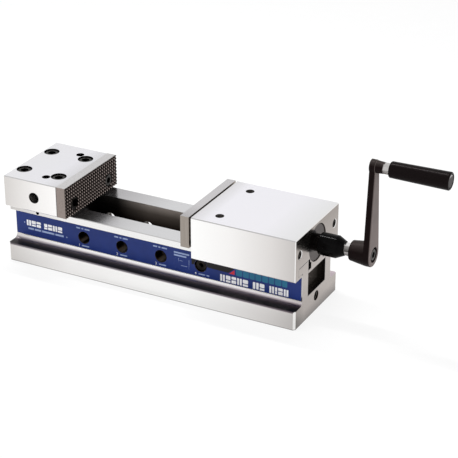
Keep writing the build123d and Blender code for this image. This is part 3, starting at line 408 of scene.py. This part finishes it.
pale_bars = row_of_bars(-0.1905, 0.0398, 0.0026, (0.0085, 0.0100, 0.0190, 0.0130), 0.0016)
for left, bottom in ((-0.1960, 0.0487), (-0.1305, 0.0410)):
    pale_bars.append(arc_points(left, bottom, 0.0009, 0, 337.5, 15))
under_hole = 0.0338
for place in hole_places[:3]:
    pale_bars += row_of_bars(place - 0.0110, 0.0580, 0.0019, (0.0060, 0.0030, 0.0075), 0.0018)
    pale_bars += row_of_bars(place - 0.0030, under_hole, 0.0017, (0.0105,), 0.0)
pale_bars += row_of_bars(hole_places[3] - 0.0030, under_hole, 0.0017, (0.0095, 0.0040), 0.0018)
sketch_left = 0.0300
pale_bars += row_of_bars(sketch_left, 0.0562, 0.0022, (0.0220,), 0.0)
pale_bars += row_of_bars(sketch_left, 0.0524, 0.0022, (0.0180,), 0.0)
sketch_of_jaws = (
    (sketch_left, 0.0360, 0.0306, 0.0500), (sketch_left, 0.0494, 0.0370, 0.0500),
    (0.0364, 0.0440, 0.0370, 0.0500), (sketch_left, 0.0360, 0.0520, 0.0366),
    (0.0430, 0.0440, 0.0436, 0.0500), (0.0430, 0.0494, 0.0520, 0.0500),
    (0.0514, 0.0360, 0.0520, 0.0500), (0.0380, 0.0466, 0.0425, 0.0471),
    (0.0400, 0.0400, 0.0490, 0.0406),
)
for left, bottom, right, top in sketch_of_jaws:
    pale_bars.append([(left, bottom), (right, bottom), (right, top), (left, top)])
sheet_on_wall("label_small_print", pale_bars, print_face, print_thickness, pale_ink)

dark_left, dark_bottom, dark_top = 0.0553, 0.0458, 0.0635
dark_strip = [(dark_left, dark_bottom)]
dark_strip += arc_points(hole_places[3], hole_height, cut_out_radius + 0.0002, 180, 0, 24)
dark_strip += [(0.1075, dark_bottom), (0.1150, 0.0523), (0.1150, dark_top), (dark_left, dark_top)]
sheet_on_wall("label_dark_strip", [dark_strip], print_face, print_thickness, dark_ink)
red_corner = [(0.1085, 0.0452), (0.1160, 0.0452), (0.1160, 0.0515)]
sheet_on_wall("label_red_corner", [red_corner], print_face, print_thickness, red_ink)
teal_widths = (0.0088, 0.0082, 0.0070, 0.0082, 0.0082, 0.0074, 0.0088, 0.0070)
teal_blocks = row_of_bars(0.1180, 0.0446, 0.0092, teal_widths, 0.0010)
sheet_on_wall("label_teal_strip", teal_blocks, print_face, print_thickness, teal_ink)

for index, place in enumerate(hole_places):
    letters = bpy.data.curves.new(f"hole_number_{index + 1}", "FONT")
    letters.body = str(index + 1)
    letters.size = 0.0050
    letters.extrude = print_thickness / 2
    drawn = bpy.data.objects.new(letters.name, letters)
    bpy.context.scene.collection.objects.link(drawn)
    spot = Matrix.Translation((place - 0.0085, print_face + print_thickness / 2, 0.0331))
    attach(solid_from(drawn, f"hole_number_{index + 1}", spot, white_ink), "base")

# Both jaw blocks: hardened steel, ground like the bed, with the same painted reflection on the
# fronts and painted sheen on the tops. The bores for bolts, dowels and accessories are painted
# dark inside with shade, and the joint between the fixed jaw and its plate is dark.
# Tops: painted sheen steps along the length.
jaw_steel, tree, shader, colour = ground_steel("jaw_steel", (
    (0.0, (0.80, 0.795, 0.815)), (0.14, (0.80, 0.795, 0.83)), (0.22, (0.64, 0.635, 0.65)),
    (0.66, (0.72, 0.71, 0.725)), (0.71, (0.88, 0.87, 0.915)), (0.88, (0.88, 0.87, 0.91)),
    (1.0, (0.78, 0.78, 0.78)),
))
stop_tap, stop_tap_height = -0.1642, 0.0987
top_tap, top_tap_side = 0.0955, 0.0410
back_tap_side, back_tap_height = 0.0500, 0.0980
jaw_bores = [((stop_tap, 0, stop_tap_height), (1, 0, 1), 0.00745)]
for side in (-1, 1):
    jaw_bores.append(((top_tap, side * top_tap_side, 0), (1, 1, 0), 0.00555))
    jaw_bores.append(((-0.1580, side * 0.0410, 0), (1, 1, 0), 0.0054))
    for bolt in (-0.1974, -0.1444):
        jaw_bores.append(((bolt, side * 0.0323, 0), (1, 1, 0), 0.01025))
back_bores = in_bores(
    tree, [((0, side * back_tap_side, back_tap_height), (0, 1, 1), 0.0053) for side in (-1, 1)]
)
back_bores = joined(tree, "MULTIPLY", back_bores, beyond(tree, "X", 0.1505, 0.0005))
bores = joined(tree, "MAXIMUM", in_bores(tree, jaw_bores), back_bores)
# Painted shade inside the bores.
colour = blended(tree, bores, colour, (0.022, 0.019, 0.017))
seam = joined(
    tree, "MULTIPLY", beyond(tree, "X", -0.1298, 0.00005), short_of(tree, "X", -0.12905, 0.00005),
    short_of(tree, "Z", jaw_top),
)
coloured(tree, shader, blended(tree, seam, colour, (0.03, 0.027, 0.025)))
for name in ("fixed_jaw", "movable_jaw"):
    dressed(name, jaw_steel)

# Threads cut in the tapped holes of the bed and of both jaws. Each one is a fine ridge
# that winds along the bore from its mouth.


def thread_in_hole(name, mouth, inward, radius, pitch, length, body):
    height = 0.45 * pitch
    per_turn = 36
    steps = int(length / pitch * per_turn)
    points, faces = [], []
    for step in range(steps + 1):
        turn = 2 * math.pi * step / per_turn
        along = pitch * step / per_turn
        for out, shift in ((radius + 0.00002, -0.42), (radius - height, 0.0), (radius + 0.00002, 0.42)):
            points.append((out * math.cos(turn), out * math.sin(turn), along + shift * pitch + 0.5 * pitch))
        if step:
            low, high = 3 * (step - 1), 3 * step
            faces += [(low, low + 1, high + 1, high), (low + 1, low + 2, high + 2, high + 1)]
    mesh = bpy.data.meshes.new(name)
    mesh.from_pydata(points, [], faces)
    mesh.transform(Matrix.Translation(mouth) @ Vector(inward).to_track_quat("Z", "Y").to_matrix().to_4x4())
    mesh.polygons.foreach_set("use_smooth", [True] * len(mesh.polygons))
    mesh.materials.append(cut_thread)
    made = bpy.data.objects.new(name, mesh)
    bpy.context.scene.collection.objects.link(made)
    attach(made, body)


cut_thread, tree, shader = material_tree("cut_thread", metallic=1.0)
streaks = grained(tree, 300.0)
coloured(tree, shader, two_tone(tree, streaks, (0.05, 0.045, 0.04), (0.15, 0.14, 0.13)))
roughened(tree, shader, streaks, 0.25, 0.4)
end_mouth = (0.2083, 0, end_tap_height)
thread_in_hole("end_thread", end_mouth, (-1, 0, 0), 0.0060, 0.0020, 0.0250, "base")
for side, name in ((-1, "front"), (1, "rear")):
    stop_mouth = (stop_tap, side * 0.0620, stop_tap_height)
    thread_in_hole(f"stop_thread_{name}", stop_mouth, (0, -side, 0), 0.0070, 0.0020, 0.0120, "base")
for side, name in ((-1, "front"), (1, "rear")):
    top_mouth = (top_tap, side * top_tap_side, 0.1209)
    thread_in_hole(f"top_thread_{name}", top_mouth, (0, 0, -1), 0.0051, 0.00175, 0.0175, "jaw")
    back_mouth = (0.2080, side * back_tap_side, back_tap_height)
    thread_in_hole(f"back_thread_{name}", back_mouth, (-1, 0, 0), 0.0051, 0.00175, 0.0195, "jaw")

# Serrated plate: hardened steel with two crossing rows of grooves. The upward faces of the
# teeth are painted lit and the downward faces painted in shade, darkening into the grooves; the
# points are bright, partly from use and partly a painted highlight. Its sides are ground to a
# warm grey.
serrated_steel, tree, shader = material_tree("serrated_steel", metallic=1.0)
fine = grained(tree, 420.0)
sides = two_tone(tree, fine, (0.27, 0.225, 0.205), (0.32, 0.27, 0.25))
groove_floor, tooth_point = -0.1164, -0.1149
depth = placed(tree, "X", groove_floor, tooth_point)
upward_facets_lit = colour_steps(tree, depth, (
    (0.0, (0.02, 0.013, 0.011)), (0.35, (0.10, 0.075, 0.067)), (0.75, (0.43, 0.365, 0.34)),
))
downward_facets_shaded = colour_steps(tree, depth, (
    (0.0, (0.003, 0.002, 0.002)), (0.7, (0.008, 0.005, 0.004)), (1.0, (0.10, 0.08, 0.072)),
))
# Lit and shaded copies: upward facets painted lit, downward facets painted in shade.
teeth_wear_light_and_shade = blended(tree, facing(tree, "Z", 0.3, 0.5), downward_facets_shaded, upward_facets_lit)
ground_top = two_tone(tree, fine, (0.53, 0.52, 0.52), (0.60, 0.59, 0.59))
colour = blended(tree, facing(tree, "Z", 0.8, 0.95), sides, ground_top)
colour = blended(tree, beyond(tree, "X", groove_floor, 0.00002), colour, teeth_wear_light_and_shade)
seam = joined(tree, "MULTIPLY", short_of(tree, "X", -0.1290, 0.00005), short_of(tree, "Z", jaw_top))
coloured(tree, shader, blended(tree, seam, colour, (0.03, 0.027, 0.025)))
roughened(tree, shader, fine, 0.26, 0.36)
embossed(tree, shader, fine, 0.05, 0.00004)
dressed("fixed_jaw_plate", serrated_steel)

# Smooth plate of the movable jaw: hardened steel, ground upright on its faces. Its top is
# lighter, with a painted sheen that darkens towards the front edge.
plate_steel, tree, shader = material_tree("plate_steel", metallic=1.0)
fine = grained(tree, 800.0, stretch=(1.0, 1.0, 0.03))
sides = two_tone(tree, fine, (0.31, 0.275, 0.24), (0.36, 0.32, 0.285))
# Painted sheen on the top face, darker towards the front edge.
top = colour_steps(tree, placed(tree, "Y", -0.0625, 0.0625), (
    (0.0, (0.42, 0.41, 0.415)), (0.3, (0.58, 0.565, 0.575)), (1.0, (0.56, 0.545, 0.555)),
))
coloured(tree, shader, blended(tree, facing(tree, "Z", 0.8, 0.95), sides, top))
roughened(tree, shader, fine, 0.24, 0.32)
embossed(tree, shader, fine, 0.04, 0.00003)
dressed("movable_jaw_plate", plate_steel)

# Socket screws, bolts, the crank's screw, the range pin and the spindle: alloy steel,
# blackened in hot oil, with a little sheen left by the oil.
black_steel, tree, shader = material_tree("black_steel", metallic=1.0)
worn = grained(tree, 180.0)
coloured(tree, shader, two_tone(tree, worn, (0.008, 0.007, 0.006), (0.036, 0.031, 0.028), 0.35, 0.75))
roughened(tree, shader, worn, 0.24, 0.36)
embossed(tree, shader, worn, 0.08, 0.00004)
for name in (
    "fixed_jaw_bolts", "fixed_plate_screws", "movable_plate_screws", "crank_screw", "range_pin", "spindle",
):
    dressed(name, black_steel)

# Dowels, the thrust pad and washer, the plungers and the springs: hardened steel ground
# bright.
bright_steel, tree, shader = material_tree("bright_steel", metallic=1.0)
polished = grained(tree, 700.0, stretch=(0.05, 1.0, 1.0))
coloured(tree, shader, two_tone(tree, polished, (0.46, 0.45, 0.44), (0.56, 0.55, 0.54)))
roughened(tree, shader, polished, 0.14, 0.2)
embossed(tree, shader, polished, 0.05, 0.00003)
for name in (
    "fixed_jaw_dowels", "thrust_pad", "thrust_washer", "booster_piston", "pressure_plunger",
    "return_springs", "clutch_springs", "clutch_rollers",
):
    dressed(name, bright_steel)

# Drive screw with its hexagon: hardened and polished. Its flats are painted in bands of light
# and shade: a bright top flat, a dark line at the middle corner and darker lower flats.
hexagon_steel, tree, shader = material_tree("hexagon_steel", metallic=1.0)
polished = grained(tree, 700.0, stretch=(0.05, 1.0, 1.0))
painted_facet_light = colour_steps(tree, placed(tree, "Z", 0.0865, 0.1005), (
    (0.0, (0.11, 0.10, 0.10)), (0.46, (0.48, 0.46, 0.45)), (0.51, (0.06, 0.055, 0.052)),
    (0.9, (0.30, 0.29, 0.28)), (1.0, (0.78, 0.77, 0.76)),
))
worn = two_tone(tree, polished, (0.88, 0.88, 0.88), (1.0, 1.0, 1.0))
coloured(tree, shader, blended(tree, 1.0, painted_facet_light, worn, "MULTIPLY"))
roughened(tree, shader, polished, 0.18, 0.26)
embossed(tree, shader, polished, 0.05, 0.00003)
dressed("drive_screw", hexagon_steel)

# Anchor nut, gland and clutch plate: turned and milled steel that stays inside,
# brown-grey, with the marks of the tool.
turned_steel, tree, shader = material_tree("turned_steel", metallic=1.0)
tooled = grained(tree, 600.0, stretch=(1.0, 0.08, 0.08))
coloured(tree, shader, two_tone(tree, tooled, (0.22, 0.195, 0.175), (0.34, 0.31, 0.285)))
roughened(tree, shader, tooled, 0.28, 0.4)
embossed(tree, shader, tooled, 0.1, 0.00004)
for name in ("anchor_nut", "spindle_gland", "clutch_plate"):
    dressed(name, turned_steel)

# Retaining ring: a turned steel disc in the jaw's end, painted very dark as a reflection of the
# black sleeve and its shade. Its face shows the fine rings that the lathe left.
spindle_height = 0.0935
ring_steel, tree, shader = material_tree("ring_steel", metallic=1.0)
place = node(tree, "ShaderNodeTexCoord")
centred = node(tree, "ShaderNodeMapping")
centred.inputs["Location"].default_value = (0.0, 0.0, -spindle_height)
tree.links.new(place.outputs["Object"], centred.inputs["Vector"])
wave = node(tree, "ShaderNodeTexWave", wave_type="RINGS", rings_direction="X", Scale=900.0, Distortion=1.5)
tree.links.new(centred.outputs["Vector"], wave.inputs["Vector"])
rings = wave.outputs["Fac"]
# Painted reflection and shade: the face is coloured nearly black.
coloured(tree, shader, two_tone(tree, rings, (0.026, 0.017, 0.014), (0.052, 0.038, 0.034), 0.0, 1.0))
roughened(tree, shader, rings, 0.2, 0.26)
embossed(tree, shader, rings, 0.05, 0.00002)
dressed("retaining_ring", ring_steel)

# Seals of both pistons: moulded rings of black nitrile rubber with a dull skin. Each one is
# stretched into the groove of its piston.
seal_rubber, tree, shader = material_tree("seal_rubber")
dull = grained(tree, 500.0)
coloured(tree, shader, two_tone(tree, dull, (0.015, 0.015, 0.015), (0.03, 0.03, 0.03)))
roughened(tree, shader, dull, 0.55, 0.7)
embossed(tree, shader, dull, 0.2, 0.00003)
dressed("piston_seal", seal_rubber)
dressed("plunger_seal", seal_rubber)

# Clutch sleeve: turned steel, screwed on the spindle's end, blackened and polished, so it
# shines in one thin line.
sleeve_black, tree, shader = material_tree("sleeve_black")
shader.inputs["Specular IOR Level"].default_value = 0.045
lathe = grained(tree, 900.0, stretch=(1.0, 0.05, 0.05))
coloured(tree, shader, two_tone(tree, lathe, (0.0016, 0.0014, 0.0014), (0.0030, 0.0027, 0.0027)))
roughened(tree, shader, lathe, 0.1, 0.17)
embossed(tree, shader, lathe, 0.03, 0.00002)
dressed("clutch_sleeve", sleeve_black)

# Crank: forged in one piece with its hub and boss, blasted and blackened to a warm
# brown-black satin. Upward faces carry a painted sheen, and the outer face is painted lighter as lit.
crank_black, tree, shader = material_tree("crank_black")
shader.inputs["Specular IOR Level"].default_value = 0.05
shader.inputs["Specular Tint"].default_value = (1.0, 0.82, 0.80, 1.0)
blasted = grained(tree, 1400.0, 3.0)
patchy = grained(tree, 45.0, 4.0)
forged = two_tone(tree, patchy, (0.0045, 0.0024, 0.0024), (0.0080, 0.0047, 0.0047))
outer_face_painted_light = two_tone(tree, patchy, (0.150, 0.124, 0.117), (0.190, 0.158, 0.150))
top_sheen = two_tone(tree, patchy, (0.022, 0.017, 0.016), (0.038, 0.031, 0.029))
# Painted sheen on upward faces and painted light on the outer face.
colour = blended(tree, facing(tree, "Z", 0.35, 0.9), forged, top_sheen)
coloured(tree, shader, blended(tree, facing(tree, "X", 0.35, 0.9), colour, outer_face_painted_light))
roughened(tree, shader, patchy, 0.34, 0.44)
embossed(tree, shader, blasted, 0.12, 0.00005)
dressed("crank", crank_black)

# Grip's pin: turned steel with a bright hexagon collar beside the crank. Its riveted head at
# the free end is dark, with a painted highlight along its top rim.
pin_steel, tree, shader = material_tree("pin_steel", metallic=1.0)
shader.inputs["Specular Tint"].default_value = (0.75, 0.75, 0.75, 1.0)
polished = grained(tree, 700.0, stretch=(0.05, 1.0, 1.0))
collar = two_tone(tree, polished, (0.50, 0.485, 0.475), (0.62, 0.605, 0.595))
head_start = 0.3701
# Painted highlight on the head's top rim; the rest of the head is dark.
head_dark_with_highlight = colour_steps(tree, placed(tree, "Z", 0.201, 0.2176), (
    (0.0, (0.010, 0.006, 0.006)), (0.6, (0.020, 0.013, 0.013)), (0.8, (0.04, 0.03, 0.03)),
    (0.9, (0.5, 0.48, 0.48)),
))
coloured(tree, shader, blended(tree, beyond(tree, "X", head_start), collar, head_dark_with_highlight))
roughened(tree, shader, polished, 0.16, 0.24)
embossed(tree, shader, polished, 0.05, 0.00003)
dressed("grip_pin", pin_steel)

# Grip: a turned sleeve of black plastic, smooth with a soft gloss, that runs free on its
# pin.
grip_black, tree, shader = material_tree("grip_black")
shader.inputs["Specular IOR Level"].default_value = 0.045
shader.inputs["Specular Tint"].default_value = (1.0, 0.85, 0.85, 1.0)
moulded = grained(tree, 900.0, 3.0)
coloured(tree, shader, two_tone(tree, moulded, (0.0040, 0.0028, 0.0029), (0.0075, 0.0052, 0.0054)))
roughened(tree, shader, moulded, 0.24, 0.32)
embossed(tree, shader, moulded, 0.06, 0.00003)
dressed("grip", grip_black)

# Table and light for the picture: a plain white table, a wide soft lamp above and to the
# left, and a pale room that darkens overhead.
table = bpy.data.meshes.new("table")
reach, below = 6.0, -0.0003
corners = [(-reach, -reach, below), (reach, -reach, below), (reach, reach, below), (-reach, reach, below)]
table.from_pydata(corners, [], [(0, 1, 2, 3)])
table_top = bpy.data.objects.new("table", table)
bpy.context.scene.collection.objects.link(table_top)
white_table, tree, shader = material_tree("white_table")
shader.inputs["Roughness"].default_value = 0.9
shader.inputs["Specular IOR Level"].default_value = 0.1
coloured(tree, shader, two_tone(tree, grained(tree, 40.0), (0.92, 0.92, 0.92), (0.95, 0.95, 0.95)))
glow = node(tree, "ShaderNodeEmission", Strength=1.0)
rays = node(tree, "ShaderNodeLightPath")
seen = joined(
    tree, "MAXIMUM", rays.outputs["Is Camera Ray"], rays.outputs["Is Glossy Ray"],
    rays.outputs["Is Transmission Ray"],
)
both = node(tree, "ShaderNodeMixShader")
tree.links.new(spread(tree, seen, 0.0, 1.0, 0.0, 0.82), both.inputs["Fac"])
tree.links.new(shader.outputs["BSDF"], both.inputs[1])
tree.links.new(glow.outputs["Emission"], both.inputs[2])
tree.links.new(both.outputs["Shader"], tree.nodes["Material Output"].inputs["Surface"])
table.materials.append(white_table)

room = bpy.data.worlds.new("room")
bpy.context.scene.world = room
room.use_nodes = True
tree = room.node_tree
place = node(tree, "ShaderNodeTexCoord")
parts = node(tree, "ShaderNodeSeparateXYZ")
tree.links.new(place.outputs["Generated"], parts.inputs["Vector"])
air = colour_steps(tree, parts.outputs["Z"], (
    (0.52, (0.97, 0.97, 0.97)), (0.72, (0.62, 0.62, 0.63)), (1.0, (0.42, 0.42, 0.43)),
))
rays = node(tree, "ShaderNodeLightPath")
background = tree.nodes["Background"]
background.inputs["Strength"].default_value = 1.0
tree.links.new(
    blended(tree, rays.outputs["Is Camera Ray"], air, (1.0, 1.0, 1.0)), background.inputs["Color"]
)


def soft_lamp(name, place, aim, size, power):
    lamp = bpy.data.lights.new(name, "AREA")
    lamp.shape = "DISK"
    lamp.size = size
    lamp.energy = power
    made = bpy.data.objects.new(name, lamp)
    made.location = place
    made.rotation_euler = (Vector(aim) - Vector(place)).to_track_quat("-Z", "Y").to_euler()
    made.visible_glossy = False
    bpy.context.scene.collection.objects.link(made)


soft_lamp("lamp_above", (-0.7, -0.9, 1.7), (0.05, 0, 0.05), 1.2, 7.0)
soft_lamp("lamp_right", (1.6, -0.3, 1.1), (0.05, 0, 0.08), 1.0, 3.0)

strip = bpy.data.lights.new("lamp_strip", "AREA")
strip.shape = "RECTANGLE"
strip.size = 1.0
strip.size_y = 0.06
strip.energy = 11.0
strip_lamp = bpy.data.objects.new("lamp_strip", strip)
strip_lamp.location = (-0.31, 0.25, 1.25)
strip_lamp.rotation_euler = (math.radians(-12.0), 0.0, 0.0)
bpy.context.scene.collection.objects.link(strip_lamp)

camera = bpy.data.cameras.new("camera")
camera.lens = 126.37
camera.sensor_width = 36.0
azimuth, elevation = 27.63, 25.80
viewer = bpy.data.objects.new("camera", camera)
viewer.location = (0.9305, -1.6118, 0.9636)
viewer.rotation_euler = (math.radians(90.0 - elevation), 0.0, math.radians(azimuth))
bpy.context.scene.collection.objects.link(viewer)
bpy.context.scene.camera = viewer
bpy.context.scene.view_settings.view_transform = "Standard"
